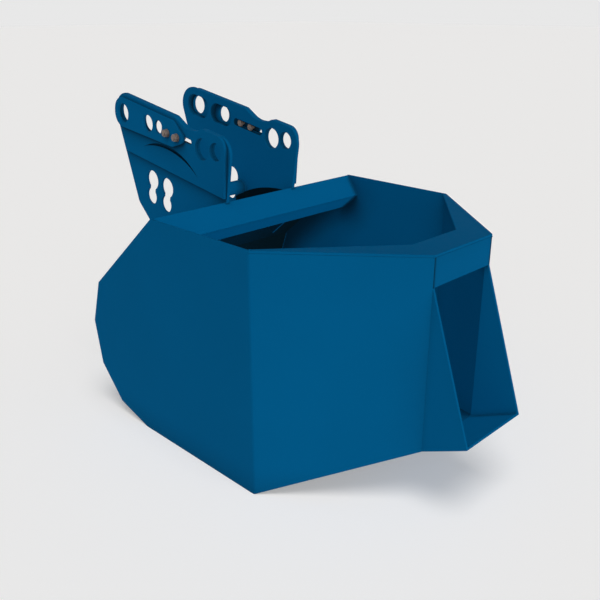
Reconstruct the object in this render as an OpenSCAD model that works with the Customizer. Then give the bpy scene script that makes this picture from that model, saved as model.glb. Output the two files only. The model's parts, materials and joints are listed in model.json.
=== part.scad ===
// Pouring bucket for an excavator: a welded plate bucket with a narrow pouring spout at the front
// and a pair of hitch ears at the back. Each ear carries a sliding pin plate held by two bolts.
// The frame: +Z up, the spout points to -Y, the side plates stand at the two ends of X.
// The origin lies on the ground, in the middle plane, straight below the apex of the hood.

/* [Bucket shell] */
// Width over the two side plates
bucket_w = 1000; // [800:10:1400]
// Height of the rim above the ground
bucket_h = 842; // [780:1:900]
// Thickness of the shell plates
plate_t = 8; // [5:1:12]
// Length of the flat floor behind the line below the hood apex
floor_back = 123; // [100:1:160]
// Length of the flat floor in front of the line below the hood apex
floor_front = 488; // [420:1:560]
// Lengths of the four flats of the folded heel, from the floor upwards
heel_flats = [172, 174, 178, 183]; // [160:1:190]
// Bends between those flats, from the floor upwards, in degrees
heel_bends = [16, 31, 33, 29]; // [15:1:34]
// Inner radius of the press bend between a side and its front panel
bend_r = 12; // [8:1:25]
// How far the top back plate laps past the heel plate
back_lap = 15; // [0:1:20]

/* [Spout] */
// Distance from the hood apex line to the nose
nose_reach = 898; // [820:1:980]
// Width of the nose and of the spout
nose_w = 304; // [220:1:380]
// Height of the band across the nose
band_h = 101; // [60:1:160]
// How far the lip of the spout stands out in front of the nose
spout_run = 160; // [120:1:220]
// Rise of the front floor, in degrees
floor_rise = 25; // [20:0.5:30]

/* [Rim and hood] */
// Width of the rim plate at the nose
rim_w = 108; // [60:1:150]
// How far the rim's inner corners at the nose stand in from its outer corners
rim_corner_in = 38; // [20:1:60]
// Length of the rim plate's foot on the inside of a side plate
rim_side_w = 10; // [4:1:60]
// How far the hood reaches forward of its apex
hood_reach = 54; // [40:1:80]
// How far the hood falls from its apex to its fold
hood_fall = 76; // [60:1:90]
// How far the folded lip of the hood runs back
lip_return = 78; // [60:1:90]
// How far that lip falls
lip_fall = 66; // [50:1:80]
// Length of the hood ribs down the top back plate, past the hood lip
rib_run = 110; // [60:1:160]

/* [Hitch ears] */
// Clear gap between the two ears
ear_gap = 320; // [260:2:400]
// Thickness of the main ear plates
ear_t = 12; // [10:1:20]
// Thickness of the doubler plates
doubler_t = 12; // [8:1:20]
// Rear pin hole: distance behind the hood apex
rear_pin_y = 592; // [576:1:608]
// Rear pin hole: height above the ground
rear_pin_z = 1106; // [1096:0.5:1122]
// Distance from the rear pin hole to the top edge of the ear
top_margin = 73; // [66:0.5:80]
// Distance from the rear pin hole to the rear edge of the ear
rear_margin = 82; // [75:1:95]
// Radius of the rear lobe of the ear
lobe_r = 74; // [70:1:90]
// Lean of the rear edge from the level, in degrees
rear_lean = 72; // [69:0.5:75]
// How far the ear's foot runs down the top back plate
foot_run = 465; // [430:1:490]
// Depth of the doubler below the rear pin hole, square to the slide
doubler_depth = 151; // [140:0.5:160]
// Slope of the doubler's lower edge, in degrees
doubler_slope = 9.4; // [8.6:0.2:10.4]
// Inset of the doubler from the rear edge of the ear
doubler_inset = 19; // [10:1:25]
// Length of the straight top edge forward of the rear pin hole
top_run = 318; // [308:1:326]
// Height of the dip in the top edge
dip_z = 1080; // [1074:1:1084]
// Radius of the dip where the top edge comes down into it
dip_r = 110; // [70:5:130]
// Crest in front of the dip: distance behind the hood apex
crest_y = 108; // [100:1:114]
// Crest in front of the dip: height
crest_z = 1092; // [1088:1:1098]
// Distance from the front pin hole to the front edge of the ear
front_margin = 68; // [62:1:76]
// Lean of the front edge from the level, in degrees
front_lean = 99.5; // [97:0.5:102]
// Radius of the front lobe of the ear
front_lobe_r = 65; // [56:1:70]
// Distance from the front pin hole to the front edge of the doubler
doubler_front_margin = 52; // [46:1:56]
// Lean of the doubler's front edge from the level, in degrees
doubler_front_lean = 95; // [93:0.5:97]

/* [Fixed pin holes and relief holes] */
// Height of the two fixed pin holes above the ground
fixed_pin_z = 1019; // [1012:1:1026]
// Front fixed pin hole: distance behind the hood apex
front_pin_y = 35; // [30:1:40]
// Spacing of the two fixed pin holes
fixed_pin_pitch = 77; // [75:1:84]
// Radius of the front fixed pin hole
front_pin_r = 32.5; // [25:0.5:33]
// Radius of the rear fixed pin hole
back_pin_r = 40; // [32:0.5:41]
// Radius of the upper circle of each relief hole
relief_upper_r = 38.5; // [30:0.5:39]
// Radius of the lower circle of each relief hole
relief_lower_r = 33; // [26:0.5:34]
// Width of the neck between those circles
relief_neck_w = 46; // [34:1:54]
// Drop from the upper circle to the lower one
relief_drop = 68.5; // [62:0.5:76]
// Front relief hole: distance behind the hood apex
relief_y = 359; // [350:1:362]
// Front relief hole: height of its upper circle
relief_z = 836.5; // [830:0.5:842]
// Distance from the front relief hole to the rear one
relief_pitch = 98; // [92:1:106]
// Radius of the outer arc of the crescent slot in the doubler
crescent_r = 295; // [280:1:310]
// Width of the crescent slot at its middle
crescent_w = 13; // [8:1:18]
// Length of the crescent slot from tip to tip
crescent_len = 335; // [300:1:345]
// Depth of the arched pocket in the inner face of each ear's foot
pocket_depth = 8; // [3:1:9]

/* [Sliding pin plates] */
// Thickness of the pin plates
pin_plate_t = 12; // [8:1:20]
// Slope of the slide, in degrees
slide_a = 10; // [9:0.5:11]
// How far a pin plate slides back from where it is drawn
travel_back = 20; // [10:1:20]
// How far a pin plate slides forward from where it is drawn
travel_front = 62; // [40:1:68]
// Distance from the rear pin hole to the rear end of the pin plate
pin_plate_back = 57; // [50:1:60]
// Distance from the rear pin hole to the top edge of the pin plate
pin_plate_top = 60; // [54:1:62]
// Distance from the rear pin hole to the lower edge of the pin plate
pin_plate_drop = 59; // [55:1:66]
// Radius of the rear pin hole
rear_pin_r = 37.5; // [27.5:0.5:38]
// Radius of the middle pin hole
mid_pin_r = 32.5; // [27.5:0.5:33]
// Radius of the front pin hole of the pin plate
fore_pin_r = 25; // [20:0.5:27]
// Distance of the middle pin hole forward of the rear one
mid_pin_run = 169; // [166:1:173]
// Distance of the front pin hole forward of the rear one
fore_pin_run = 237; // [234:1:241]
// Distance of the rear bolt forward of the rear pin hole
bolt_run = 295; // [293:1:299]
// Spacing of the two bolts
bolt_pitch = 60; // [52:1:62]
// Diameter of the bolts
bolt_d = 16; // [12:1:18]
// Gap left between sliding faces
slide_gap = 0.3; // [0.1:0.1:0.6]

/* [Spreader tube] */
// Distance of the tube behind the hood apex
tube_y = 300; // [292:1:304]
// Height of the tube above the ground
tube_z = 799; // [788:1:802]
// Outer diameter of the tube
tube_d = 56; // [44:1:58]
// Wall of the tube
tube_wall = 6; // [4:1:10]

/* [Hidden] */
$fn = 64;

paint = [0.01, 0.29, 0.46];
paint_dark = [0.01, 0.25, 0.40];
steel = [0.38, 0.33, 0.30];

// Overshoot of a cut past the faces it cuts
over = 1;
// Longer than anything on the bucket
far = 3000;

function unit(v) = v / norm(v);
function dir(a) = [cos(a), sin(a)];
function angle_of(v) = atan2(v[1], v[0]);
function left_of(v) = [-v[1], v[0]];

// Inner corner where two plates of thickness t meet at corner b of the outline a-b-c
function inset_corner(a, b, c, t) =
    let (m = left_of(unit(b - a)), n = left_of(unit(c - b)))
    b + t * (m + n) / (1 + m * n);

// Inner point at a square-cut plate end: b is the end, a the point before it
function square_end(a, b, t) = b + t * left_of(unit(b - a));

// Crossing of the line through p at angle a with the line through q at angle b
function meet(p, a, q, b) =
    let (u = dir(a), v = dir(b), d = q - p)
    p + u * (d[0] * v[1] - d[1] * v[0]) / (u[0] * v[1] - u[1] * v[0]);

// Arc that rounds corner b of the outline a-b-c to radius r
function round_corner(a, b, c, r) =
    let (
        u = unit(a - b),
        w = unit(c - b),
        half = acos(max(-1, min(1, u * w))) / 2,
        centre = b + unit(u + w) * r / sin(half),
        first = angle_of(b + u * r / tan(half) - centre),
        sweep = angle_of(b + w * r / tan(half) - centre) - first,
        turn = sweep > 180 ? sweep - 360 : sweep < -180 ? sweep + 360 : sweep,
        steps = max(2, ceil(abs(turn) / 6))
    )
    [for (i = [0:steps]) centre + r * dir(first + turn * i / steps)];

// Outline from corners [y, z, radius], each rounded to its radius
function rounded(corners) =
    let (n = len(corners), p = [for (c = corners) [c[0], c[1]]])
    [for (i = [0:n - 1])
        each corners[i][2] > 0
            ? round_corner(p[(i + n - 1) % n], p[i], p[(i + 1) % n], corners[i][2])
            : [p[i]]];

function corner(p, r) = [p[0], p[1], r];

// Side outline of the bucket: the first number runs back along Y, the second up along Z
heel_angle_0 = heel_bends[0];
heel_angle_1 = heel_angle_0 + heel_bends[1];
heel_angle_2 = heel_angle_1 + heel_bends[2];
heel_angle_3 = heel_angle_2 + heel_bends[3];
front_foot = [-floor_front, 0];
heel_0 = [floor_back, 0];
heel_1 = heel_0 + heel_flats[0] * dir(heel_angle_0);
heel_2 = heel_1 + heel_flats[1] * dir(heel_angle_1);
heel_3 = heel_2 + heel_flats[2] * dir(heel_angle_2);
heel_4 = heel_3 + heel_flats[3] * dir(heel_angle_3);
apex = [0, bucket_h];
lip_reach = nose_reach + spout_run;
lip = [-lip_reach, (lip_reach - floor_front) * tan(floor_rise)];
hood_fold = apex - [hood_reach, hood_fall];
hood_lip = hood_fold + [lip_return, -lip_fall];
back_a = angle_of(apex - heel_4);
down_back = -dir(back_a);
rim_under = bucket_h - plate_t;
band_foot = bucket_h - band_h;

// The same corners on the inner faces of the plates
in_lip = square_end(front_foot, lip, -plate_t);
in_foot = inset_corner(lip, front_foot, heel_0, plate_t);
in_0 = inset_corner(front_foot, heel_0, heel_1, plate_t);
in_1 = inset_corner(heel_0, heel_1, heel_2, plate_t);
in_2 = inset_corner(heel_1, heel_2, heel_3, plate_t);
in_3 = inset_corner(heel_2, heel_3, heel_4, plate_t);
in_4 = inset_corner(heel_3, heel_4, apex, plate_t);
in_apex = inset_corner(heel_4, apex, hood_fold, plate_t);
in_fold = inset_corner(apex, hood_fold, hood_lip, plate_t);
in_hood_lip = square_end(hood_fold, hood_lip, plate_t);

// Plan of the front: half widths, and the right front panel's outer and inner lines
half_w = bucket_w / 2;
inner_half_w = half_w - plate_t;
nose_half = nose_w / 2;
side_front = [half_w, -floor_front];
nose_side = [nose_half, -nose_reach];
panel_a = angle_of(nose_side - side_front);
in_side_front = inset_corner([half_w, 0], side_front, nose_side, -plate_t);
in_nose_side = meet([nose_half, 0], 90, in_side_front, panel_a);
seam_y = in_nose_side[1];
rim_nose = nose_side + [-rim_corner_in, rim_w];

// The slide: forward along the slope, and square to it
fwd = -dir(slide_a);
lift = left_of(dir(slide_a));
rear_pin = [rear_pin_y, rear_pin_z];
function on_slide(run, rise) = rear_pin + run * fwd + rise * lift;

// Rise of the middle and front pin holes and of the bolts above the slide line
mid_pin_rise = 5;
fore_pin_rise = 10;
bolt_rise = 4;
mid_pin = on_slide(mid_pin_run, mid_pin_rise);
fore_pin = on_slide(fore_pin_run, fore_pin_rise);
bolt_runs = [bolt_run, bolt_run + bolt_pitch];

// Layers of the ear, from the middle plane outwards
ear_x = ear_gap / 2;
doubler_x = ear_x + ear_t;
pin_plate_x = doubler_x + doubler_t + slide_gap;
washer_x = pin_plate_x + pin_plate_t;

// Bolts, nuts and washers in the proportions of common hexagon fasteners
across_flats = 1.5 * bolt_d;
head_r = across_flats / 2 / cos(30);
head_t = 0.62 * bolt_d;
nut_t = 0.85 * bolt_d;
washer_r = 0.94 * bolt_d;
washer_t = 0.19 * bolt_d;
thread_end = 0.2 * bolt_d;
bolt_hole_r = bolt_d / 2 + 1;
head_clear = 2;
head_slot_end = 0.7;
shank_slot_end = 0.5;
bolt_slot_h = across_flats + 2 * head_clear;

// Openings in the ears that let the pins of the sliding plates through
open_back_clear = 10;
open_front_clear = 57;
rear_open_back = rear_pin_r + open_back_clear;
rear_open_front = rear_pin_r + open_front_clear;
rear_open_h = 86;
rear_open_rise = 2;
mid_open_lead = 60;
mid_open_trail = 6;
mid_open_back = mid_pin_run - mid_open_lead;
mid_open_front = fore_pin_run + mid_open_trail;
mid_open_h = 78;
mid_open_rise = 6;

// Corners of the ear
top_line = on_slide(0, top_margin);
rear_line = rear_pin + rear_margin * -left_of(dir(rear_lean));
top_end = on_slide(top_run, top_margin);
front_pin = [front_pin_y, fixed_pin_z];
back_pin = front_pin + [fixed_pin_pitch, 0];
front_line = front_pin + front_margin * left_of(dir(front_lean));
dip_fall_a = 31.5;
dip_rear = meet(top_end, dip_fall_a, [0, dip_z], 0);
crest = [crest_y, crest_z];
crest_run = 28;
dip_front = [crest_y + crest_run, dip_z];
doubler_front_line = front_pin + doubler_front_margin * left_of(dir(doubler_front_lean));
doubler_lobe_r = front_lobe_r - front_margin + doubler_front_margin;
hip_r = 45;
top_end_r = 20;
dip_front_r = 30;
crest_r = 20;
foot_front = meet(front_line, front_lean, apex, angle_of(apex - hood_fold));
foot_rear = apex + foot_run * down_back;
hip = meet(foot_rear, 45, rear_line, rear_lean);
doubler_foot = on_slide(0, -doubler_depth);
doubler_rear_line = rear_line + doubler_inset * left_of(dir(rear_lean));

// Corners shared by the ear and its doubler, from the rear lobe to the front lobe
function top_corners(lobe, front_point, front_a, front_r) = [
    corner(lobe, lobe_r),
    corner(top_end, top_end_r),
    corner(dip_rear, dip_r),
    corner(dip_front, dip_front_r),
    corner(crest, crest_r),
    corner(meet(crest, slide_a, front_point, front_a), front_r)
];

ear_outline = rounded(concat(
    [corner(foot_rear, 0), corner(hip, hip_r)],
    top_corners(meet(rear_line, rear_lean, top_line, slide_a), front_line, front_lean, front_lobe_r),
    [corner(foot_front, 0), corner(apex, 0)]
));

doubler_outline = rounded(concat(
    [corner(meet(doubler_rear_line, rear_lean, doubler_foot, doubler_slope), 0)],
    top_corners(meet(doubler_rear_line, rear_lean, top_line, slide_a),
        doubler_front_line, doubler_front_lean, doubler_lobe_r),
    [corner(meet(doubler_front_line, doubler_front_lean, doubler_foot, doubler_slope), 0)]
));

// Sliding pin plate: its corners along the slide from the rear bolt, and square to it
pin_plate_end_r = 54;
chamfer_run = 28;
chamfer_end_run = 94;
chamfer_end_rise = 19;
chamfer_r = 14;
nose_run = 96;
nose_drop = 7;
nose_r = 24;
belly_run = 34;
belly_drop = 40;
belly_r = 40;
pin_plate_outline = rounded([
    corner(on_slide(-pin_plate_back, pin_plate_top), pin_plate_end_r),
    corner(on_slide(bolt_run + chamfer_run, pin_plate_top), chamfer_r),
    corner(on_slide(bolt_run + chamfer_end_run, chamfer_end_rise), chamfer_r),
    corner(on_slide(bolt_run + nose_run, -nose_drop), nose_r),
    corner(on_slide(bolt_run + belly_run, -belly_drop), belly_r),
    corner(on_slide(-pin_plate_back, -pin_plate_drop), pin_plate_end_r)
]);

// Lean of the relief holes
relief_lean = 101;

// Crescent slot in the doubler: a chord, an outer arc and a flatter inner arc through its ends
crescent_mid = [310, 951];
crescent_a = 13;
half_chord = crescent_len / 2;
outer_sag = crescent_r - sqrt(pow(crescent_r, 2) - pow(half_chord, 2));
inner_sag = outer_sag - crescent_w;
inner_crescent_r = (pow(half_chord, 2) + pow(inner_sag, 2)) / (2 * inner_sag);
crescent_down = -left_of(dir(crescent_a));

// Arched pocket inside the foot of the ear: a lens between a long arc and a lower line
pocket_r = 560;
pocket_mid = [189, 788];
pocket_a = -14;
pocket_half = 154;
pocket_drop = 48;
pocket_end_h = 20;
pocket_sag = pocket_r - sqrt(pow(pocket_r, 2) - pow(pocket_half, 2));

// Extrudes a side outline across the bucket, from x0 to x1
module across(x0, x1) {
    translate([x0, 0, 0])
        rotate([90, 0, 90])
            linear_extrude(height = x1 - x0)
                children();
}

// Bore along X through point p of the side outline, from x0 to x1
module bore(p, r, x0, x1) {
    translate([x0, p[0], p[1]])
        rotate([0, 90, 0])
            cylinder(r = r, h = x1 - x0);
}

// Draws its children on the right, or mirrored on the left
module on_side(side) {
    if (side == "right") children();
    else mirror([1, 0, 0]) children();
}

// Slot along the slide, from run a to run b, with round ends
module slide_slot(a, b, rise, height, x0, x1) {
    r = height / 2;
    for (run = [a + r, b - r])
        bore(on_slide(run, rise), r, x0, x1);
    across(x0, x1)
        polygon([
            on_slide(a + r, rise + r), on_slide(b - r, rise + r),
            on_slide(b - r, rise - r), on_slide(a + r, rise - r)
        ]);
}

// Plan outline of the bucket at a plate face, with the press bends rounded
module plan(width, side, nose, radius, back) {
    polygon(rounded([
        [width, back, 0], corner(side, radius), corner(nose, 0),
        [-nose[0], nose[1], 0], [-side[0], side[1], radius], [-width, back, 0]
    ]));
}

module outer_plan() {
    plan(half_w, side_front, nose_side, bend_r + plate_t, far);
}

module inner_plan() {
    plan(inner_half_w, in_side_front, in_nose_side, bend_r, far);
}

// Slab of the shell between the side plates, cut to the inside of the press bends
module floor_slab(outline) {
    intersection() {
        across(-inner_half_w, inner_half_w) polygon(outline);
        translate([0, 0, -over])
            linear_extrude(height = bucket_h)
                inner_plan();
    }
}

// Side and front panel of one side, folded from one plate
module side_plate() {
    intersection() {
        across(nose_half, half_w + over)
            polygon([
                front_foot, heel_0, heel_1, heel_2, heel_3, heel_4, apex, [-floor_front, bucket_h],
                [-floor_front, rim_under], [-nose_reach - over, rim_under],
                meet([-nose_reach - over, 0], 90, front_foot, 180 - floor_rise)
            ]);
        linear_extrude(height = bucket_h)
            difference() {
                outer_plan();
                inner_plan();
            }
    }
}

module side_plate_left() {
    color(paint) on_side("left") side_plate();
}

module side_plate_right() {
    color(paint) on_side("right") side_plate();
}

// Sloping plate from the heel up to the hood; it laps past the heel plate
module top_back_plate() {
    lap = heel_4 + back_lap * down_back;
    color(paint)
        across(-inner_half_w, inner_half_w)
            polygon([lap, apex, in_apex, lap + plate_t * left_of(dir(back_a))]);
}

// Heel, folded in flats from one plate; its top edge butts on the top back plate
module heel_plate() {
    top = meet(heel_3, heel_angle_3, in_4, back_a);
    color(paint)
        across(-inner_half_w, inner_half_w)
            polygon([heel_0, heel_1, heel_2, heel_3, top, in_4, in_3, in_2, in_1, in_0]);
}

module floor_plate() {
    color(paint) floor_slab([front_foot, heel_0, in_0, in_foot]);
}

// Rising floor between the two front panels
module front_floor() {
    far_front = front_foot + far * dir(180 - floor_rise);
    color(paint_dark)
        floor_slab([far_front, front_foot, in_foot, far_front + plate_t * dir(90 - floor_rise)]);
}

// Tongue of the floor between the cheeks
module spout_floor() {
    color(paint_dark)
        across(-nose_half + plate_t, nose_half - plate_t)
            polygon([
                lip, meet([seam_y, 0], 90, front_foot, 180 - floor_rise),
                meet([seam_y, 0], 90, in_foot, 180 - floor_rise), in_lip
            ]);
}

module nose_band() {
    color(paint)
        translate([-nose_half, -nose_reach, band_foot])
            cube([nose_w, plate_t, band_h - plate_t]);
}

// Flat rim along both front panels and the nose
module rim_plate() {
    foot_y = rim_side_w - floor_front;
    color(paint)
        translate([0, 0, rim_under])
            linear_extrude(height = plate_t)
                intersection() {
                    union() {
                        inner_plan();
                        intersection() {
                            outer_plan();
                            translate([-far, -far - floor_front]) square([2 * far, far]);
                        }
                    }
                    polygon([
                        [inner_half_w, foot_y], rim_nose, [-rim_nose[0], rim_nose[1]],
                        [-inner_half_w, foot_y], [-inner_half_w, -floor_front],
                        [-far, -floor_front], [-far, -far], [far, -far],
                        [far, -floor_front], [inner_half_w, -floor_front]
                    ]);
                }
}

// Triangular cheek at one side of the spout
module spout_cheek() {
    color(paint)
        across(nose_half - plate_t, nose_half)
            polygon([
                [seam_y, band_foot], [-nose_reach, band_foot], lip,
                meet([seam_y, 0], 90, front_foot, 180 - floor_rise)
            ]);
}

module spout_cheek_left() {
    on_side("left") spout_cheek();
}

module spout_cheek_right() {
    on_side("right") spout_cheek();
}

// Folded hood along the top of the back
module hood() {
    color(paint)
        across(-inner_half_w, inner_half_w)
            polygon([apex, hood_fold, hood_lip, in_hood_lip, in_fold, in_apex]);
}

// Rib inside the hood, in line with an ear
module hood_rib() {
    low = in_hood_lip + rib_run * down_back;
    foot = meet(in_apex, back_a, low, back_a + 90);
    color(paint_dark)
        across(ear_x, ear_x + plate_t)
            polygon([in_apex, in_fold, in_hood_lip, low, foot]);
}

module hood_rib_left() {
    on_side("left") hood_rib();
}

module hood_rib_right() {
    on_side("right") hood_rib();
}

// Openings behind the sliding plate's pin holes
module pin_openings(x0, x1) {
    slide_slot(-rear_open_back, rear_open_front, rear_open_rise, rear_open_h, x0, x1);
    slide_slot(mid_open_back, mid_open_front, mid_open_rise, mid_open_h, x0, x1);
}

// The two fixed pin holes
module fixed_pin_holes(x0, x1) {
    bore(front_pin, front_pin_r, x0, x1);
    bore(back_pin, back_pin_r, x0, x1);
}

// Relief hole: two circles joined by a neck, leaning with the rear edge
module relief_hole(p, x0, x1) {
    q = p - relief_drop * dir(relief_lean);
    side = relief_neck_w / 2 * left_of(dir(relief_lean));
    bore(p, relief_upper_r, x0, x1);
    bore(q, relief_lower_r, x0, x1);
    across(x0, x1) polygon([p + side, q + side, q - side, p - side]);
}

// Arched pocket in the inner face of the foot
module foot_pocket(x0, x1) {
    up = left_of(dir(pocket_a));
    middle = pocket_mid + (pocket_sag - pocket_r) * up;
    intersection() {
        bore(middle, pocket_r, x0, x1);
        across(x0, x1)
            polygon([
                pocket_mid + pocket_half * dir(pocket_a) - pocket_end_h * up,
                pocket_mid + pocket_half * dir(pocket_a) + far * up,
                pocket_mid - pocket_half * dir(pocket_a) + far * up,
                pocket_mid - pocket_half * dir(pocket_a),
                pocket_mid - pocket_drop * up
            ]);
    }
}

// Main plate of an ear; its foot follows the hood and the top back plate
module ear() {
    x0 = ear_x - over;
    x1 = doubler_x + over;
    head_slack = head_r + head_slot_end;
    color(paint)
        difference() {
            across(ear_x, doubler_x) polygon(ear_outline);
            pin_openings(x0, x1);
            fixed_pin_holes(x0, x1);
            slide_slot(bolt_run - travel_back - head_slack,
                bolt_run + bolt_pitch + travel_front + head_slack, bolt_rise, bolt_slot_h, x0, x1);
            relief_hole([relief_y, relief_z], x0, x1);
            relief_hole([relief_y, relief_z] + relief_pitch * dir(slide_a), x0, x1);
            foot_pocket(x0, ear_x + pocket_depth);
        }
}

module ear_left() {
    on_side("left") ear();
}

module ear_right() {
    on_side("right") ear();
}

// Doubler on the outside of an ear
module ear_doubler() {
    x0 = doubler_x - over;
    x1 = doubler_x + doubler_t + over;
    shank_slack = bolt_hole_r + shank_slot_end;
    color(paint)
        difference() {
            across(doubler_x, doubler_x + doubler_t) polygon(doubler_outline);
            pin_openings(x0, x1);
            fixed_pin_holes(x0, x1);
            slide_slot(bolt_run - travel_back - shank_slack,
                bolt_run + bolt_pitch + travel_front + shank_slack, bolt_rise, 2 * bolt_hole_r, x0, x1);
            difference() {
                bore(crescent_mid + (crescent_r - outer_sag) * crescent_down, crescent_r, x0, x1);
                bore(crescent_mid + (inner_crescent_r - inner_sag) * crescent_down,
                    inner_crescent_r, x0 - over, x1 + over);
                across(x0 - over, x1 + over)
                    polygon([
                        crescent_mid + far * dir(crescent_a), crescent_mid - far * dir(crescent_a),
                        crescent_mid - far * dir(crescent_a) + far * crescent_down,
                        crescent_mid + far * dir(crescent_a) + far * crescent_down
                    ]);
            }
        }
}

module ear_doubler_left() {
    on_side("left") ear_doubler();
}

module ear_doubler_right() {
    on_side("right") ear_doubler();
}

// Round tube that spaces the ears
module spreader_tube() {
    color(paint)
        difference() {
            bore([tube_y, tube_z], tube_d / 2, -ear_x, ear_x);
            bore([tube_y, tube_z], tube_d / 2 - tube_wall, -ear_x - over, ear_x + over);
        }
}

// Sliding plate with the three rear pin holes and the two bolt holes
module pin_plate() {
    x1 = washer_x + over;
    color(paint)
        difference() {
            across(pin_plate_x, washer_x) polygon(pin_plate_outline);
            bore(rear_pin, rear_pin_r, pin_plate_x - over, x1);
            bore(mid_pin, mid_pin_r, pin_plate_x - over, x1);
            bore(fore_pin, fore_pin_r, pin_plate_x - over, x1);
            for (run = bolt_runs)
                bore(on_slide(run, bolt_rise), bolt_hole_r, pin_plate_x - over, x1);
        }
}

module pin_plate_left() {
    on_side("left") pin_plate();
}

module pin_plate_right() {
    on_side("right") pin_plate();
}

// Hexagonal prism along X with two flats along the slide
module hexagon(p, x0, x1) {
    across(x0, x1)
        polygon([for (i = [0:5]) p + head_r * dir(slide_a + 60 * i)]);
}

// Bolts: the heads lie in the ear's slot and bear on the doubler
module clamp_bolts() {
    head_face = doubler_x - slide_gap;
    shank_end = washer_x + washer_t + nut_t + thread_end;
    color(steel)
        for (run = bolt_runs) {
            hexagon(on_slide(run, bolt_rise), head_face - head_t, head_face);
            bore(on_slide(run, bolt_rise), bolt_d / 2, head_face, shank_end);
        }
}

module clamp_bolts_left() {
    on_side("left") clamp_bolts();
}

module clamp_bolts_right() {
    on_side("right") clamp_bolts();
}

module clamp_washers() {
    color(steel)
        for (run = bolt_runs)
            difference() {
                bore(on_slide(run, bolt_rise), washer_r, washer_x, washer_x + washer_t);
                bore(on_slide(run, bolt_rise), bolt_d / 2, washer_x - over, washer_x + washer_t + over);
            }
}

module clamp_washers_left() {
    on_side("left") clamp_washers();
}

module clamp_washers_right() {
    on_side("right") clamp_washers();
}

module clamp_nuts() {
    x0 = washer_x + washer_t;
    color(steel)
        for (run = bolt_runs)
            difference() {
                hexagon(on_slide(run, bolt_rise), x0, x0 + nut_t);
                bore(on_slide(run, bolt_rise), bolt_d / 2, x0 - over, x0 + nut_t + over);
            }
}

module clamp_nuts_left() {
    on_side("left") clamp_nuts();
}

module clamp_nuts_right() {
    on_side("right") clamp_nuts();
}

side_plate_left();
side_plate_right();
top_back_plate();
heel_plate();
floor_plate();
front_floor();
spout_floor();
nose_band();
rim_plate();
spout_cheek_left();
spout_cheek_right();
hood();
hood_rib_left();
hood_rib_right();
ear_left();
ear_right();
ear_doubler_left();
ear_doubler_right();
spreader_tube();
pin_plate_left();
pin_plate_right();
clamp_bolts_left();
clamp_bolts_right();
clamp_washers_left();
clamp_washers_right();
clamp_nuts_left();
clamp_nuts_right();
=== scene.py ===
import json
import math

import bmesh
import bpy
from mathutils import Matrix, Vector
from mathutils.bvhtree import BVHTree


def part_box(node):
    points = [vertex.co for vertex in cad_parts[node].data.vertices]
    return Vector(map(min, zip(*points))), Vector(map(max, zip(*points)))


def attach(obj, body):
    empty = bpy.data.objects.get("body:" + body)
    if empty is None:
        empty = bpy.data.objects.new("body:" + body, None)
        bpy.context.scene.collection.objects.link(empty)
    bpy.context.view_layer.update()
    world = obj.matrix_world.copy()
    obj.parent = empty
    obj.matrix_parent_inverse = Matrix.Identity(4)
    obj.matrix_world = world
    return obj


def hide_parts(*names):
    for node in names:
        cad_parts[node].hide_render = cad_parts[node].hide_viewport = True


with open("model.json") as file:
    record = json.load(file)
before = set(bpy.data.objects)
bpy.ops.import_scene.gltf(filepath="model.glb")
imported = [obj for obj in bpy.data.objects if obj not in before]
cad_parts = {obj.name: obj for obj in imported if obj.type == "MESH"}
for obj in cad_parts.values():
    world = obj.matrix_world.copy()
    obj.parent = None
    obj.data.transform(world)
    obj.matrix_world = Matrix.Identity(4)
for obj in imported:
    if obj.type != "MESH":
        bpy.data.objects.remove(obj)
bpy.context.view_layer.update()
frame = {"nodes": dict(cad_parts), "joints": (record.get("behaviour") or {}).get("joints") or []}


# Folded shell
# Two side plates, each pressed from one sheet with its front panel, stand at the ends of the
# floor, the heel in four flats and the sloping back. The seams are welded inside and ground
# flush outside, and the whole bucket is powder coated in one satin blue.
SHELL = ["side_plate_left", "side_plate_right", "floor_plate", "heel_plate", "top_back_plate",
         "front_floor"]
SAME_POINT = 1e-6
SMALLEST_STEP = 0.0008
FLAT = math.radians(1)
CREASE = math.radians(32)
CUT_EDGE = 0.0011
EDGE_STEPS = 2
NOISE_LOW = 0.3
NOISE_HIGH = 0.7
DRIFT_PER_METRE = 2.5
CLOUDS_PER_METRE = 38.0
CLOUD_DULLNESS = 0.07
DUST_PER_METRE = 9.0
DUST_LEVEL = 0.3
DUST_THRESHOLD = 0.35
OPEN_TO_SKY = 0.9
SHUT_FROM_SKY = 0.42


def group_sockets(tree, given, put_out):
    """Adds named inputs and outputs to a node group."""
    for direction, sockets in (("INPUT", given), ("OUTPUT", put_out)):
        for name, kind in sockets.items():
            tree.interface.new_socket(name, in_out=direction, socket_type="NodeSocket" + kind)
    return tree.nodes.new("NodeGroupInput"), tree.nodes.new("NodeGroupOutput")


def map_range(tree, value, low, high, to_low, to_high):
    """Node that carries a value from one range to another; each end is a number or a socket."""
    node = tree.nodes.new("ShaderNodeMapRange")
    tree.links.new(value, node.inputs["Value"])
    ends = {"From Min": low, "From Max": high, "To Min": to_low, "To Max": to_high}
    for name, end in ends.items():
        if isinstance(end, bpy.types.NodeSocket):
            tree.links.new(end, node.inputs[name])
        else:
            node.inputs[name].default_value = end
    return node.outputs["Result"]


def math_of(tree, operation, first, second):
    """Math node on a socket and a socket or number."""
    node = tree.nodes.new("ShaderNodeMath")
    node.operation = operation
    for place, term in enumerate((first, second)):
        if isinstance(term, bpy.types.NodeSocket):
            tree.links.new(term, node.inputs[place])
        else:
            node.inputs[place].default_value = term
    return node.outputs["Value"]


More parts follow.
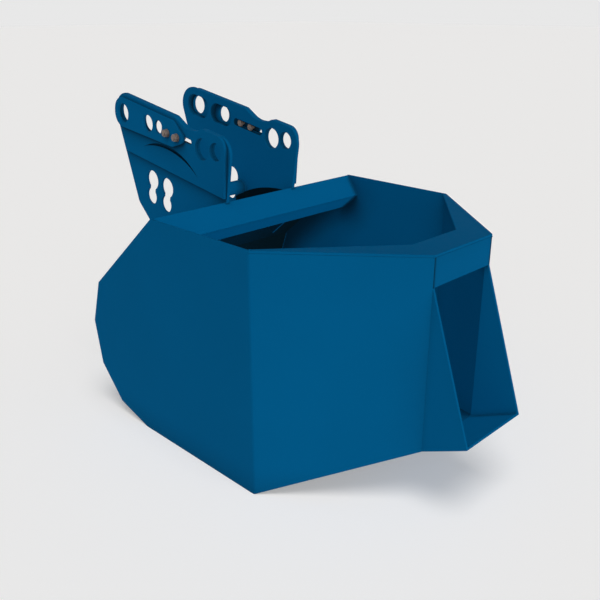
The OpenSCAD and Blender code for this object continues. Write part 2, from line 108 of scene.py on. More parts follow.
def speckle(tree, scale, detail):
    """Noise over the piece's own coordinates, in metres."""
    place = tree.nodes.new("ShaderNodeTexCoord")
    noise = tree.nodes.new("ShaderNodeTexNoise")
    noise.inputs["Detail"].default_value = detail
    tree.links.new(place.outputs["Object"], noise.inputs["Vector"])
    if isinstance(scale, bpy.types.NodeSocket):
        tree.links.new(scale, noise.inputs["Scale"])
    else:
        noise.inputs["Scale"].default_value = scale
    return noise.outputs["Fac"]


def coat_film_group():
    """A baked powder film: its shade drifts a little, its satin is uneven, and it has a fine peel."""
    tree = bpy.data.node_groups.new("coat_film", "ShaderNodeTree")
    given, put_out = group_sockets(
        tree,
        {"Colour": "Color", "Drift": "Float", "Satin": "Float", "Peel size": "Float"},
        {"Colour": "Color", "Roughness": "Float", "Height": "Float"},
    )
    drift = given.outputs["Drift"]
    broad = speckle(tree, DRIFT_PER_METRE, detail=3.0)
    darkest = math_of(tree, "SUBTRACT", 1.0, drift)
    palest = math_of(tree, "ADD", 1.0, drift)
    tint = tree.nodes.new("ShaderNodeHueSaturation")
    tree.links.new(map_range(tree, broad, NOISE_LOW, NOISE_HIGH, darkest, palest), tint.inputs["Value"])
    tree.links.new(given.outputs["Colour"], tint.inputs["Color"])
    tree.links.new(tint.outputs["Color"], put_out.inputs["Colour"])
    cloudy = speckle(tree, CLOUDS_PER_METRE, detail=2.0)
    dull = math_of(tree, "ADD", given.outputs["Satin"], CLOUD_DULLNESS)
    tree.links.new(
        map_range(tree, cloudy, NOISE_LOW, NOISE_HIGH, given.outputs["Satin"], dull),
        put_out.inputs["Roughness"],
    )
    peel = speckle(tree, math_of(tree, "DIVIDE", 1.0, given.outputs["Peel size"]), detail=1.0)
    tree.links.new(peel, put_out.inputs["Height"])
    return tree


def settled_dust_group():
    """Pale site dust that settles on faces turned upwards, in patches."""
    tree = bpy.data.node_groups.new("settled_dust", "ShaderNodeTree")
    given, put_out = group_sockets(
        tree,
        {"Colour": "Color", "Dust": "Color", "Amount": "Float"},
        {"Colour": "Color"},
    )
    surface = tree.nodes.new("ShaderNodeNewGeometry")
    parts = tree.nodes.new("ShaderNodeSeparateXYZ")
    tree.links.new(surface.outputs["Normal"], parts.inputs["Vector"])
    upward = map_range(tree, parts.outputs["Z"], DUST_LEVEL, 1.0, 0.0, 1.0)
    uneven = speckle(tree, DUST_PER_METRE, detail=4.0)
    patches = map_range(tree, uneven, DUST_THRESHOLD, NOISE_HIGH, 0.0, 1.0)
    settled = math_of(tree, "MULTIPLY", upward, patches)
    cover = math_of(tree, "MULTIPLY", settled, given.outputs["Amount"])
    mix = tree.nodes.new("ShaderNodeMix")
    mix.data_type = "RGBA"
    tree.links.new(cover, mix.inputs["Factor"])
    tree.links.new(given.outputs["Colour"], mix.inputs["A"])
    tree.links.new(given.outputs["Dust"], mix.inputs["B"])
    tree.links.new(mix.outputs["Result"], put_out.inputs["Colour"])
    return tree


def painted_shade_group():
    """Painted shade under ledges and in holes, where something hides the sky above."""
    tree = bpy.data.node_groups.new("painted_shade", "ShaderNodeTree")
    given, put_out = group_sockets(
        tree,
        {"Colour": "Color", "Grime": "Color", "Openness": "Float", "Amount": "Float"},
        {"Colour": "Color"},
    )
    shelter = map_range(tree, given.outputs["Openness"], OPEN_TO_SKY, SHUT_FROM_SKY, 0.0, 1.0)
    mix = tree.nodes.new("ShaderNodeMix")
    mix.data_type = "RGBA"
    tree.links.new(math_of(tree, "MULTIPLY", shelter, given.outputs["Amount"]), mix.inputs["Factor"])
    tree.links.new(given.outputs["Colour"], mix.inputs["A"])
    tree.links.new(given.outputs["Grime"], mix.inputs["B"])
    tree.links.new(mix.outputs["Result"], put_out.inputs["Colour"])
    return tree


coat_film = coat_film_group()
settled_dust = settled_dust_group()
painted_shade = painted_shade_group()
BLUE = (0.0004, 0.0860, 0.2140, 1.0)
SITE_DUST = (0.30, 0.29, 0.27, 1.0)
# Colour of the painted shade laid over the coats where something nearby hides the sky.
SHADE_COLOUR = (0.002, 0.009, 0.014, 1.0)
PEEL_SIZE = 0.0022
PEEL_STRENGTH = 0.25
PEEL_HEIGHT = 0.0004
COAT_SHINE = 0.003
SKY_LEAN = (0.0, 0.0, 0.7)
SKY_RAYS = 8


def placed_group(material, tree, **values):
    """A shader group in a material, with its own values."""
    node = material.node_tree.nodes.new("ShaderNodeGroup")
    node.node_tree = tree
    for name, value in values.items():
        node.inputs[name.replace("_", " ")].default_value = value
    return node


def with_painted_shade(material, colour, amount, reach):
    """A colour with painted shade wherever something within reach hides the sky above."""
    tree = material.node_tree
    surface = tree.nodes.new("ShaderNodeNewGeometry")
    lean = tree.nodes.new("ShaderNodeVectorMath")
    lean.operation = "ADD"
    lean.inputs[1].default_value = SKY_LEAN
    open_sky = tree.nodes.new("ShaderNodeAmbientOcclusion")
    open_sky.samples = SKY_RAYS
    open_sky.inputs["Distance"].default_value = reach
    shaded = placed_group(material, painted_shade, Grime=SHADE_COLOUR, Amount=amount)
    tree.links.new(surface.outputs["Normal"], lean.inputs[0])
    tree.links.new(lean.outputs["Vector"], open_sky.inputs["Normal"])
    tree.links.new(colour, shaded.inputs["Colour"])
    tree.links.new(open_sky.outputs["AO"], shaded.inputs["Openness"])
    return shaded.outputs["Colour"]


def blue_coat(name, colour=BLUE, drift=0.025, satin=0.5, dust=0.0015, shade_amount=0.85,
              shelter_reach=0.035):
    """Satin blue powder coat on steel plate, with painted shade where something hides the sky above."""
    material = bpy.data.materials.new(name)
    material.use_nodes = True
    tree = material.node_tree
    shader = tree.nodes["Principled BSDF"]
    shader.inputs["Specular IOR Level"].default_value = COAT_SHINE
    film = placed_group(material, coat_film, Colour=colour, Drift=drift, Satin=satin,
                        Peel_size=PEEL_SIZE)
    dusty = placed_group(material, settled_dust, Dust=SITE_DUST, Amount=dust)
    relief = tree.nodes.new("ShaderNodeBump")
    relief.inputs["Strength"].default_value = PEEL_STRENGTH
    relief.inputs["Distance"].default_value = PEEL_HEIGHT
    tree.links.new(film.outputs["Colour"], dusty.inputs["Colour"])
    shaded = with_painted_shade(material, dusty.outputs["Colour"], amount=shade_amount, reach=shelter_reach)
    tree.links.new(shaded, shader.inputs["Base Color"])
    tree.links.new(film.outputs["Roughness"], shader.inputs["Roughness"])
    tree.links.new(film.outputs["Height"], relief.inputs["Height"])
    tree.links.new(relief.outputs["Normal"], shader.inputs["Normal"])
    return material


def clean_shape(node):
    """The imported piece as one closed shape, with the triangles of its flat faces joined."""
    packed = frame["nodes"][node].data
    shape = bmesh.new()
    corners = [shape.verts.new(vertex.co) for vertex in packed.vertices]
    for face in packed.polygons:
        shape.faces.new([corners[i] for i in face.vertices])
    bmesh.ops.remove_doubles(shape, verts=shape.verts, dist=SAME_POINT)
    bmesh.ops.dissolve_limit(shape, angle_limit=FLAT, verts=shape.verts, edges=shape.edges)
    bmesh.ops.remove_doubles(shape, verts=shape.verts, dist=SMALLEST_STEP)
    shape.normal_update()
    return shape


def shown(name, mesh):
    """A mesh as an object of the scene, at the origin."""
    piece = bpy.data.objects.new(name, mesh)
    bpy.context.scene.collection.objects.link(piece)
    return piece


def frozen(draft, name):
    """What a draft's modifiers make of it, as a plain mesh; the draft goes."""
    graph = bpy.context.evaluated_depsgraph_get()
    mesh = bpy.data.meshes.new_from_object(draft.evaluated_get(graph), depsgraph=graph)
    bpy.data.objects.remove(draft)
    return shown(name, mesh)


def coated_plate(node, body, coat):
    """A plate with the coat built up round its cut edges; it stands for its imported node."""
    shape = clean_shape(node)
    mesh = bpy.data.meshes.new(node + "_plate")
    shape.to_mesh(mesh)
    shape.free()
    mesh.materials.append(coat)
    mesh.shade_smooth()
    mesh.set_sharp_from_angle(angle=CREASE)
    draft = shown(node + "_draft", mesh)
    rounding = draft.modifiers.new("cut_edges", "BEVEL")
    rounding.width = CUT_EDGE
    rounding.segments = EDGE_STEPS
    rounding.limit_method = "ANGLE"
    rounding.angle_limit = CREASE
    even = draft.modifiers.new("flat_faces", "WEIGHTED_NORMAL")
    even.keep_sharp = True
    piece = frozen(draft, node + "_coated")
    low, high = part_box(node)
    for vertex in piece.data.vertices:
        vertex.co = [min(max(a, at), b) for a, at, b in zip(low, vertex.co, high)]
    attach(piece, body)
    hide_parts(node)
    return piece


# Each coat paints shade where something within its reach hides the sky above a face.
shell_coat = blue_coat("shell_coat", shade_amount=0.85, shelter_reach=0.15)
for node in SHELL:
    coated_plate(node, "bucket", shell_coat)

# The inner faces of the back and the heel lie under the hood and get a darker blue, as painted shade.
INNER_FACE = -0.3
SHADED_INSIDE_BLUE = (0.0004, 0.0400, 0.1000, 1.0)
shaded_inside_coat = blue_coat("shaded_inside_coat", colour=SHADED_INSIDE_BLUE, shade_amount=1.0, shelter_reach=0.7)
for node in ("top_back_plate", "heel_plate"):
    mesh = bpy.data.objects[node + "_coated"].data
    mesh.materials.append(shaded_inside_coat)
    for face in mesh.polygons:
        if face.normal.y < INNER_FACE:
            face.material_index = 1


# Rim and nose
# A flat rim runs along the top of both front panels and across the nose, and a narrow band
# closes the nose below it. Both are cut from the same sheet and welded on. Painted shade
# darkens the seams where the band meets the front panels.
SEAM_WIDTH = 0.011
SEAM_COVER = 0.9
# The band's blue is a little darker than the rest, as painted shade.
SHADED_BAND_BLUE = (0.0004, 0.0800, 0.1990, 1.0)


def shade_in_end_seams(material, band):
    """Painted shade in the seams at both ends of a band, over the colour it already has."""
    tree = material.node_tree
    base = tree.nodes["Principled BSDF"].inputs["Base Color"]
    place = tree.nodes.new("ShaderNodeTexCoord")
    parts = tree.nodes.new("ShaderNodeSeparateXYZ")
    tree.links.new(place.outputs["Object"], parts.inputs["Vector"])
    across = math_of(tree, "ABSOLUTE", parts.outputs["X"], 0.0)
    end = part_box(band)[1][0]
    mix = tree.nodes.new("ShaderNodeMix")
    mix.data_type = "RGBA"
    mix.inputs["B"].default_value = SHADE_COLOUR
    cover = map_range(tree, across, end - SEAM_WIDTH, end, 0.0, SEAM_COVER)
    tree.links.new(cover, mix.inputs["Factor"])
    tree.links.new(base.links[0].from_socket, mix.inputs["A"])
    tree.links.new(mix.outputs["Result"], base)


rim_coat = blue_coat("rim_coat", dust=0.0025)
coated_plate("rim_plate", "bucket", rim_coat)
shaded_band_coat = blue_coat("shaded_band_coat", colour=SHADED_BAND_BLUE)
shade_in_end_seams(shaded_band_coat, "nose_band")
coated_plate("nose_band", "bucket", shaded_band_coat)


# Spout
# Below the nose the floor runs on as a tongue between two triangular cheeks, which keep the pour
# together. All three are cut from sheet and welded to the front panels.
spout_coat = blue_coat("spout_coat", drift=0.03)
for node in ("spout_floor", "spout_cheek_left", "spout_cheek_right"):
    coated_plate(node, "bucket", spout_coat)


# Hood
# One sheet folded along the top of the back and welded between the side plates. Two small ribs
# inside it carry the load of the ears.
# The hood's blue is lighter than the rest, as painted light.
LIT_HOOD_BLUE = (0.0004, 0.0960, 0.2390, 1.0)
lit_hood_coat = blue_coat("lit_hood_coat", colour=LIT_HOOD_BLUE, shelter_reach=0.03)
coated_plate("hood", "bucket", lit_hood_coat)
# The ribs' coat paints deeper shade, from further off, as they stand under the hood.
rib_coat = blue_coat("rib_coat", shade_amount=0.9, shelter_reach=0.25)
for node in ("hood_rib_left", "hood_rib_right"):
    coated_plate(node, "bucket", rib_coat)


# Hitch
# Each ear is a plasma cut plate with a doubler welded to its outer face, and a tube holds the two
# ears apart.
EARS = ["ear_left", "ear_right", "ear_doubler_left", "ear_doubler_right", "spreader_tube"]
# The ears' coat paints shade from further off, which darkens the walls of their holes.
ear_coat = blue_coat("ear_coat", drift=0.02, shelter_reach=0.08)
for node in EARS:
    coated_plate(node, "bucket", ear_coat)

# The arched pocket in the foot of each ear is painted near black inside, as painted shade.
POCKET_LOW = (0.1603, 0.03, 0.725)
POCKET_HIGH = (0.1685, 0.35, 0.850)
POCKET_SHADE = (0.001, 0.006, 0.010, 1.0)
pocket_shade_coat = blue_coat("pocket_shade_coat", colour=POCKET_SHADE, dust=0.0)
for side in ("left", "right"):
    mesh = bpy.data.objects["ear_" + side + "_coated"].data
    mesh.materials.append(pocket_shade_coat)
    for face in mesh.polygons:
        place = (abs(face.center.x), face.center.y, face.center.z)
        inside = all(low < at < high for low, at, high in zip(POCKET_LOW, place, POCKET_HIGH))
        if inside:
            face.material_index = 1


# Sliding pin plates
# On the outside of each doubler lies a plate with three pin holes, which slides along the ear and
# is clamped by two bolts. It is coated before it is fitted.
pin_plate_coat = blue_coat("pin_plate_coat", drift=0.02, satin=0.46)
for side in ("left", "right"):
    coated_plate("pin_plate_" + side, "pin_carrier_" + side, pin_plate_coat)


# Clamping bolts
# Two hexagon bolts hold each pin plate: the head lies in the slot on the inner side of the ear,
# and a washer and a nut are on the outside. They are dull plated steel, a little brown with age.
HEX_STEPS = 48
CHAMFER = math.tan(math.radians(30))
CHAMFER_START = 0.95
HEAD_SHARE = 0.62
HEAD_EDGE = 0.0004
HEX_TO_BOLT = 1.5
WASHER_TO_BOLT = 1.88
WASHER_EDGE = 0.2
THREAD_PITCH = 0.002
THREAD_DEPTH = 0.0012
THREAD_STEPS = 4
THREAD_RUN = 0.03
BORE_SLACK = 0.0006


def islands(node):
    """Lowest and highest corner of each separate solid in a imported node."""
    shape = clean_shape(node)
    left = set(shape.verts)
    found = []
    while left:
        stack = [left.pop()]
        group = []
        while stack:
            vertex = stack.pop()
            group.append(vertex.co.copy())
            for edge in vertex.link_edges:
                other = edge.other_vert(vertex)
                if other in left:
                    left.remove(other)
                    stack.append(other)
        low = Vector([min(p[i] for p in group) for i in range(3)])
        high = Vector([max(p[i] for p in group) for i in range(3)])
        found.append((low, high))
    shape.free()
    return sorted(found, key=lambda corners: corners[0].y)


def turned(name, rings, closed):
    """A shape through rings of points round the Z axis: a ring joins on to the next, and the ends
    are capped, or the last ring joins the first."""
    shape = bmesh.new()
    laid = [[shape.verts.new(point) for point in ring] for ring in rings]
    pairs = list(zip(laid, laid[1:]))
    if closed:
        pairs.append((laid[-1], laid[0]))
    for lower, upper in pairs:
        for i in range(len(lower)):
            j = (i + 1) % len(lower)
            shape.faces.new((lower[i], lower[j], upper[j], upper[i]))
    if not closed:
        shape.faces.new(list(reversed(laid[0])))
        shape.faces.new(laid[-1])
    bmesh.ops.recalc_face_normals(shape, faces=shape.faces)
    mesh = bpy.data.meshes.new(name)
    shape.to_mesh(mesh)
    shape.free()
    mesh.shade_smooth()
    mesh.set_sharp_from_angle(angle=CREASE)
    return mesh


def ring_point(radius, turn, z):
    """A point at a radius and an angle round the Z axis."""
    return Vector((radius * math.cos(turn), radius * math.sin(turn), z))


def round_ring(radius, z):
    """A circle of points round the Z axis."""
    return [ring_point(radius, math.tau * i / HEX_STEPS, z) for i in range(HEX_STEPS)]


def hex_ring(apothem, z, lean):
    """Ring on a hexagon's sides, with a corner on the X axis; its chamfer leans it up or down."""
    ring = []
    for i in range(HEX_STEPS):
        turn = math.tau * i / HEX_STEPS
        radius = apothem / math.cos(turn % (math.pi / 3) - math.pi / 6)
        drop = (radius - CHAMFER_START * apothem) * CHAMFER
        ring.append(ring_point(radius, turn, z + lean * drop))
    return ring


def nut_mesh(apothem, bore, height):
    """A hexagon nut with both ends chamfered and a countersunk bore."""
    crown = CHAMFER_START * apothem
    return turned("hexagon_nut", [
        round_ring(bore, 0.0),
        round_ring(crown, 0.0),
        hex_ring(apothem, 0.0, lean=1),
        hex_ring(apothem, height, lean=-1),
        round_ring(crown, height),
        round_ring(bore + 0.5 * THREAD_DEPTH, height),
        round_ring(bore, height - THREAD_DEPTH),
    ], closed=True)


def bolt_mesh(apothem, radius, length):
    """A hexagon head at the foot, a plain shank, and a rolled thread at the far end."""
    head = HEAD_SHARE * 2 * radius
    crown = CHAMFER_START * apothem
    rings = [
        round_ring(0.5 * crown, 0.0),
        round_ring(crown, 0.0),
        hex_ring(apothem, 0.0, lean=1),
        hex_ring(apothem, head - HEAD_EDGE, lean=0),
        round_ring(crown, head),
        round_ring(radius, head),
        round_ring(radius, length - THREAD_RUN),
    ]
    count = int(THREAD_RUN / THREAD_PITCH * THREAD_STEPS)
    for k in range(1, count):
        z = length - THREAD_RUN + k * THREAD_PITCH / THREAD_STEPS
        fade = min(1.0, (length - z) / THREAD_PITCH)
        ring = []
        for i in range(HEX_STEPS):
            phase = (z / THREAD_PITCH - i / HEX_STEPS) % 1.0
            depth = THREAD_DEPTH * abs(2 * phase - 1)
            depth = max(depth, THREAD_DEPTH * (1 - fade))
            ring.append(ring_point(radius - depth, math.tau * i / HEX_STEPS, z))
        rings.append(ring)
    rings.append(round_ring(radius - THREAD_DEPTH, length))
    return turned("hexagon_bolt", rings, closed=False)


def washer_mesh(radius, bore, height):
    """A flat washer with a soft outer edge."""
    soft = WASHER_EDGE * height
    return turned("flat_washer", [
        round_ring(bore, 0.0),
        round_ring(radius - soft, 0.0),
        round_ring(radius, soft),
        round_ring(radius, height - soft),
        round_ring(radius - soft, height),
        round_ring(bore, height),
    ], closed=True)


def repeat_tree():
    """Sets one part at each point, turned the same way, and gives it its finish."""
    tree = bpy.data.node_groups.new("parts_on_points", "GeometryNodeTree")
    given, put_out = group_sockets(
        tree,
        {"Points": "Geometry", "Part": "Object", "Turn": "Rotation", "Finish": "Material"},
        {"Parts": "Geometry"},
    )
    part = tree.nodes.new("GeometryNodeObjectInfo")
    place = tree.nodes.new("GeometryNodeInstanceOnPoints")
    real = tree.nodes.new("GeometryNodeRealizeInstances")
    finish = tree.nodes.new("GeometryNodeSetMaterial")
    tree.links.new(given.outputs["Part"], part.inputs["Object"])
    tree.links.new(given.outputs["Points"], place.inputs["Points"])
    tree.links.new(part.outputs["Geometry"], place.inputs["Instance"])
    tree.links.new(given.outputs["Turn"], place.inputs["Rotation"])
    tree.links.new(place.outputs["Instances"], real.inputs["Geometry"])
    tree.links.new(real.outputs["Geometry"], finish.inputs["Geometry"])
    tree.links.new(given.outputs["Finish"], finish.inputs["Material"])
    tree.links.new(finish.outputs["Geometry"], put_out.inputs["Parts"])
    return tree


def run_tree(draft, tree, values):
    """Adds a node tree to a draft and sets its named inputs."""
    modifier = draft.modifiers.new(tree.name, "NODES")
    modifier.node_group = tree
    for item in tree.interface.items_tree:
        if item.item_type == "SOCKET" and item.in_out == "INPUT" and item.name in values:
            modifier[item.identifier] = values[item.name]


STEEL_SHINE = 0.55
STEEL_DRIFT = 0.12
STEEL_SATIN = 0.5
GRAIN_SIZE = 0.0012
GRAIN_STRENGTH = 0.4
GRAIN_HEIGHT = 0.0002
BLOOMS_PER_METRE = 160.0
BLOOM_EDGE = 0.45
BLOOM_HEART = 0.65
BLOOM_COVER = 0.6
CORNER_REACH = 0.006
FRESH_PLATE = (0.26, 0.21, 0.18, 1.0)
AGED_PLATE = (0.11, 0.07, 0.05, 1.0)


def plated_steel(name, colour, age):
    """Dull zinc plate: fine grain, brown blooms where it has aged, painted shade in its corners."""
    material = bpy.data.materials.new(name)
    material.use_nodes = True
    tree = material.node_tree
    shader = tree.nodes["Principled BSDF"]
    shader.inputs["Metallic"].default_value = STEEL_SHINE
    film = placed_group(material, coat_film, Colour=colour, Drift=STEEL_DRIFT, Satin=STEEL_SATIN,
                        Peel_size=GRAIN_SIZE)
    stains = speckle(tree, BLOOMS_PER_METRE, detail=4.0)
    bloom = map_range(tree, stains, BLOOM_EDGE, BLOOM_HEART, 0.0, BLOOM_COVER)
    mix = tree.nodes.new("ShaderNodeMix")
    mix.data_type = "RGBA"
    mix.inputs["B"].default_value = age
    relief = tree.nodes.new("ShaderNodeBump")
    relief.inputs["Strength"].default_value = GRAIN_STRENGTH
    relief.inputs["Distance"].default_value = GRAIN_HEIGHT
    tree.links.new(bloom, mix.inputs["Factor"])
    tree.links.new(film.outputs["Colour"], mix.inputs["A"])
    shaded = with_painted_shade(material, mix.outputs["Result"], amount=1.0, reach=CORNER_REACH)
    tree.links.new(shaded, shader.inputs["Base Color"])
    tree.links.new(film.outputs["Roughness"], shader.inputs["Roughness"])
    tree.links.new(film.outputs["Height"], relief.inputs["Height"])
    tree.links.new(relief.outputs["Normal"], shader.inputs["Normal"])
    return material


parts_on_points = repeat_tree()
plated = plated_steel("dull_plated_steel", FRESH_PLATE, AGED_PLATE)
slide_axis = Vector(frame["joints"][0]["axis"])


def set_parts(name, part_mesh, points, turn, body, node):
    """One kind of fastener at its two places on an ear."""
    part = shown(name + "_part", part_mesh)
    spots = bpy.data.meshes.new(name + "_spots")
    spots.from_pydata(points, [], [])
    draft = shown(name + "_draft", spots)
    run_tree(draft, parts_on_points, {"Part": part, "Turn": turn, "Finish": plated})
    piece = frozen(draft, name)
    bpy.data.objects.remove(part)
    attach(piece, body)
    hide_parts(node)


for side, outward in (("left", -1), ("right", 1)):
    out = Vector((outward, 0.0, 0.0))
    turn = Matrix((slide_axis, out.cross(slide_axis), out)).transposed().to_euler()
    feet = {}
    length = {}
    width = {}
    for kind in ("bolts", "washers", "nuts"):
        solids = islands("clamp_" + kind + "_" + side)
        low, high = solids[0]
        inner_x = low.x if outward > 0 else high.x
        feet[kind] = [(inner_x, (a.y + b.y) / 2, (a.z + b.z) / 2) for a, b in solids]
        length[kind] = high.x - low.x
        width[kind] = high.z - low.z
    washer_radius = width["washers"] / 2
    shank_radius = washer_radius / WASHER_TO_BOLT
    apothem = HEX_TO_BOLT * shank_radius
    made = {
        "bolts": bolt_mesh(apothem, shank_radius, length["bolts"]),
        "washers": washer_mesh(washer_radius, shank_radius + BORE_SLACK, length["washers"]),
        "nuts": nut_mesh(apothem, shank_radius - THREAD_DEPTH / 2, length["nuts"]),
    }
    for kind, part_mesh in made.items():
        set_parts("hex_" + kind + "_" + side, part_mesh, feet[kind], turn,
                  "pin_carrier_" + side, "clamp_" + kind + "_" + side)


# Weld beads
# Fillet welds where the plates meet, laid by hand in short ripples and coated with the rest. Each
# bead follows an edge of one plate for as far as that edge stands on the face of another.
TOUCH = 0.0006
BEAD_FOOT = 0.003
CLEAR_OF_GROUND = 0.006
BEAD_SIDES = 8
RIPPLE = 0.0055
RIPPLE_STEP = 0.34
RIPPLE_DEPTH = 0.12
# Radius of the bead, and pairs of the plate that stands and the plate that it stands on.
WELDS = {
    "shell_welds": (0.0026, [
        ("floor_plate", "side_plate_left"), ("floor_plate", "side_plate_right"),
        ("heel_plate", "side_plate_left"), ("heel_plate", "side_plate_right"),
        ("top_back_plate", "side_plate_left"), ("top_back_plate", "side_plate_right"),
        ("front_floor", "side_plate_left"), ("front_floor", "side_plate_right"),
        ("hood", "side_plate_left"), ("hood", "side_plate_right"),
        ("heel_plate", "top_back_plate"),
        ("side_plate_left", "rim_plate"), ("side_plate_right", "rim_plate"),
        ("nose_band", "rim_plate"),
        ("spout_floor", "spout_cheek_left"), ("spout_floor", "spout_cheek_right"),
        ("hood_rib_left", "hood"), ("hood_rib_right", "hood"),
        ("hood_rib_left", "top_back_plate"), ("hood_rib_right", "top_back_plate"),
    ]),
    "hitch_welds": (0.0033, [
        ("ear_left", "top_back_plate"), ("ear_right", "top_back_plate"),
        ("ear_left", "hood"), ("ear_right", "hood"),
        ("ear_doubler_left", "top_back_plate"), ("ear_doubler_right", "top_back_plate"),
        ("ear_doubler_left", "hood"), ("ear_doubler_right", "hood"),
        ("spreader_tube", "ear_left"), ("spreader_tube", "ear_right"),
    ]),
}


def seam(plate, onto):
    """Edges of a plate that stand on the face of another and leave room for a bead beside them."""
    shape = clean_shape(plate)
    packed = frame["nodes"][onto].data
    surface = BVHTree.FromPolygons([v.co for v in packed.vertices],
                                   [list(f.vertices) for f in packed.polygons])

    def off(point):
        return surface.find_nearest(point)[3]

    kept = []
    for edge in shape.edges:
        if len(edge.link_loops) != 2 or edge.calc_face_angle() < CREASE:
            continue
        ends = [vertex.co.copy() for vertex in edge.verts]
        middle = (ends[0] + ends[1]) / 2
        on_the_ground = min(end.z for end in ends) < CLEAR_OF_GROUND
        if on_the_ground or max(off(ends[0]), off(ends[1]), off(middle)) > TOUCH:
            continue
        for standing, wall in (edge.link_loops, reversed(edge.link_loops)):
            run = standing.link_loop_next.vert.co - standing.vert.co
            inward = standing.face.normal.cross(run).normalized()
            stands = off(middle + inward * BEAD_FOOT) < TOUCH
            if stands and off(middle + wall.face.normal * BEAD_FOOT) < TOUCH:
                kept.append(ends)
                break
    shape.free()
    return kept


def bead_tree():
    """Draws a rippled bead of round section along every line it is given."""
    tree = bpy.data.node_groups.new("weld_bead", "GeometryNodeTree")
    given, put_out = group_sockets(
        tree,
        {"Seams": "Geometry", "Bead radius": "Float", "Ripple": "Float", "Ripple depth": "Float",
         "Finish": "Material"},
        {"Beads": "Geometry"},
    )
    line = tree.nodes.new("GeometryNodeMeshToCurve")
    fine = tree.nodes.new("GeometryNodeResampleCurve")
    fine.mode = "LENGTH"
    along = tree.nodes.new("GeometryNodeSplineParameter")
    section = tree.nodes.new("GeometryNodeCurvePrimitiveCircle")
    section.inputs["Resolution"].default_value = BEAD_SIDES
    sweep = tree.nodes.new("GeometryNodeCurveToMesh")
    sweep.inputs["Fill Caps"].default_value = True
    smooth = tree.nodes.new("GeometryNodeSetShadeSmooth")
    real = tree.nodes.new("GeometryNodeRealizeInstances")
    finish = tree.nodes.new("GeometryNodeSetMaterial")
    tree.links.new(given.outputs["Seams"], line.inputs["Mesh"])
    tree.links.new(line.outputs["Curve"], fine.inputs["Curve"])
    step = math_of(tree, "MULTIPLY", given.outputs["Ripple"], RIPPLE_STEP)
    tree.links.new(step, fine.inputs["Length"])
    turns = math_of(tree, "DIVIDE", along.outputs["Length"], given.outputs["Ripple"])
    wave = math_of(tree, "SINE", math_of(tree, "MULTIPLY", turns, math.tau), 0.0)
    swell = math_of(tree, "MULTIPLY", wave, given.outputs["Ripple depth"])
    tree.links.new(math_of(tree, "ADD", swell, 1.0), sweep.inputs["Scale"])
    tree.links.new(given.outputs["Bead radius"], section.inputs["Radius"])
    tree.links.new(fine.outputs["Curve"], sweep.inputs["Curve"])
    tree.links.new(section.outputs["Curve"], sweep.inputs["Profile Curve"])
    tree.links.new(sweep.outputs["Mesh"], smooth.inputs["Geometry"])
    tree.links.new(smooth.outputs["Geometry"], real.inputs["Geometry"])
    tree.links.new(real.outputs["Geometry"], finish.inputs["Geometry"])
    tree.links.new(given.outputs["Finish"], finish.inputs["Material"])
    tree.links.new(finish.outputs["Geometry"], put_out.inputs["Beads"])
    return tree


weld_bead = bead_tree()
weld_coat = blue_coat("weld_coat", satin=0.42)
for name, (radius, joints) in WELDS.items():
    lines = bmesh.new()
    for plate, onto in joints:
        for ends in seam(plate, onto):
            lines.edges.new([lines.verts.new(point) for point in ends])
    bmesh.ops.remove_doubles(lines, verts=lines.verts, dist=TOUCH)
    mesh = bpy.data.meshes.new(name + "_seams")
    lines.to_mesh(mesh)
    lines.free()
    draft = shown(name + "_draft", mesh)
    run_tree(draft, weld_bead, {"Bead radius": radius, "Ripple": RIPPLE,
                                "Ripple depth": RIPPLE_DEPTH, "Finish": weld_coat})
    beads = frozen(draft, name)
    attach(beads, "bucket")


# Floor
# A plain pale studio floor of matt paint. To the eye it is as pale as the background behind it,
# and it keeps the bucket's shadow.
FLOOR_REACH = 60.0
FLOOR_PAINT = (0.765, 0.755, 0.745, 1.0)
FLOOR_GLOW = 0.285
BACKGROUND = 0.807
WHITE = (1.0, 1.0, 1.0, 1.0)


def seen_only(tree):
    """One for rays that come from the eye or a reflection, nought for the others."""
    path = tree.nodes.new("ShaderNodeLightPath")
    either = math_of(tree, "MAXIMUM", path.outputs["Is Camera Ray"], path.outputs["Is Glossy Ray"])
    return math_of(tree, "MAXIMUM", either, path.outputs["Is Transmission Ray"])


floor_mesh = bpy.data.meshes.new("studio_floor")
corners = [(across * FLOOR_REACH, along * FLOOR_REACH, 0.0)
           for across, along in ((-1, -1), (1, -1), (1, 1), (-1, 1))]
floor_mesh.from_pydata(corners, [], [(0, 1, 2, 3)])
floor = shown("studio_floor", floor_mesh)
floor_paint = bpy.data.materials.new("pale_floor")
floor_paint.use_nodes = True
tree = floor_paint.node_tree
tree.nodes.remove(tree.nodes["Principled BSDF"])
matt = tree.nodes.new("ShaderNodeBsdfDiffuse")
matt.inputs["Color"].default_value = FLOOR_PAINT
glow = tree.nodes.new("ShaderNodeEmission")
glow.inputs["Color"].default_value = WHITE
tree.links.new(math_of(tree, "MULTIPLY", seen_only(tree), FLOOR_GLOW), glow.inputs["Strength"])
both = tree.nodes.new("ShaderNodeAddShader")
tree.links.new(matt.outputs["BSDF"], both.inputs[0])
tree.links.new(glow.outputs["Emission"], both.inputs[1])
tree.links.new(both.outputs["Shader"], tree.nodes["Material Output"].inputs["Surface"])
floor_mesh.materials.append(floor_paint)


# Light
# An even white room, a little brighter to the front left. A broad soft lamp overhead casts the
# shadow, and a weaker one in front casts a softer one. Four fills that cast none light the upright
# and overhanging faces, as a pale studio floor and walls would.
ROOM_LIGHT = 0.08
ROOM_GLOW = 0.20
GLOW_FROM = (-0.5, -0.74, 0.45)
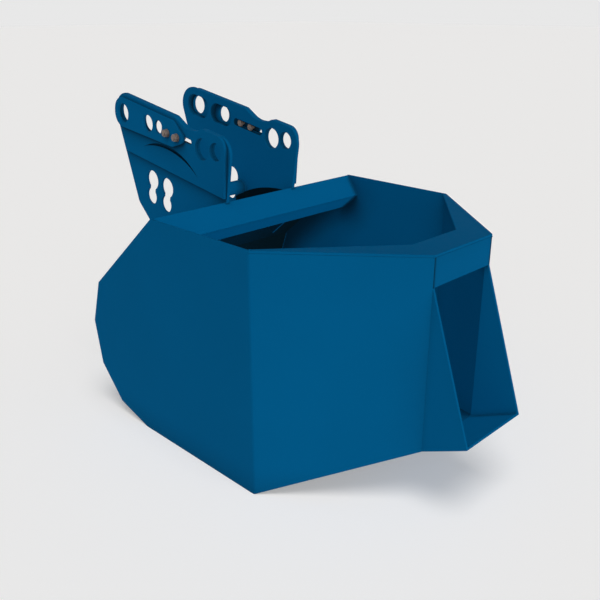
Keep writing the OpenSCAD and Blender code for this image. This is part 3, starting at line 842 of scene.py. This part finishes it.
# Power, where the light comes from, spread in degrees, and whether it casts a shadow.
LAMPS = {
    "high_lamp": (1.4, (-0.18, -0.28, 0.943), 34, True),
    "front_lamp": (0.24, (-0.5, -0.7, 0.5), 50, True),
    "front_fill": (1.66, (0.32, -0.87, -0.2), 0, False),
    "left_fill": (1.18, (-0.97, 0.12, 0.2), 0, False),
    "low_fill": (0.6, (0.0, -0.5, -0.86), 0, False),
    "back_fill": (1.15, (0.7, 0.714, 0.0), 0, False),
}

room = bpy.data.worlds.new("white_room")
bpy.context.scene.world = room
room.use_nodes = True
tree = room.node_tree
backdrop = tree.nodes["Background"]
direction = tree.nodes.new("ShaderNodeTexCoord")
towards = tree.nodes.new("ShaderNodeVectorMath")
towards.operation = "DOT_PRODUCT"
towards.inputs[1].default_value = GLOW_FROM
tree.links.new(direction.outputs["Generated"], towards.inputs[0])
brightest = ROOM_LIGHT + ROOM_GLOW
lit = map_range(tree, towards.outputs["Value"], 0.0, 1.0, ROOM_LIGHT, brightest)
strength = map_range(tree, seen_only(tree), 0.0, 1.0, lit, BACKGROUND)
tree.links.new(strength, backdrop.inputs["Strength"])
backdrop.inputs["Color"].default_value = WHITE
for name, (power, source, spread, shadow) in LAMPS.items():
    lamp_data = bpy.data.lights.new(name, "SUN")
    lamp_data.energy = power
    lamp_data.angle = math.radians(spread)
    lamp_data.use_shadow = shadow
    lamp = bpy.data.objects.new(name, lamp_data)
    bpy.context.scene.collection.objects.link(lamp)
    lamp.visible_glossy = shadow
    lamp.rotation_euler = Vector(source).to_track_quat("Z", "Y").to_euler()
bpy.context.scene.view_settings.view_transform = "Standard"


# Camera
# At eye height, off the front left corner of the bucket, with a lens a little shorter than a
# portrait lens.
CAMERA_PLACE = (-1.859, -2.052, 1.499)
CAMERA_TURN = -45.2
CAMERA_DIP = 21.4
LENS = 44.91
SENSOR_WIDTH = 36.0

camera_data = bpy.data.cameras.new("camera")
camera_data.lens = LENS
camera_data.sensor_width = SENSOR_WIDTH
camera = bpy.data.objects.new("camera", camera_data)
bpy.context.scene.collection.objects.link(camera)
camera.location = CAMERA_PLACE
camera.rotation_euler = (math.radians(90 - CAMERA_DIP), 0.0, math.radians(CAMERA_TURN))
bpy.context.scene.camera = camera
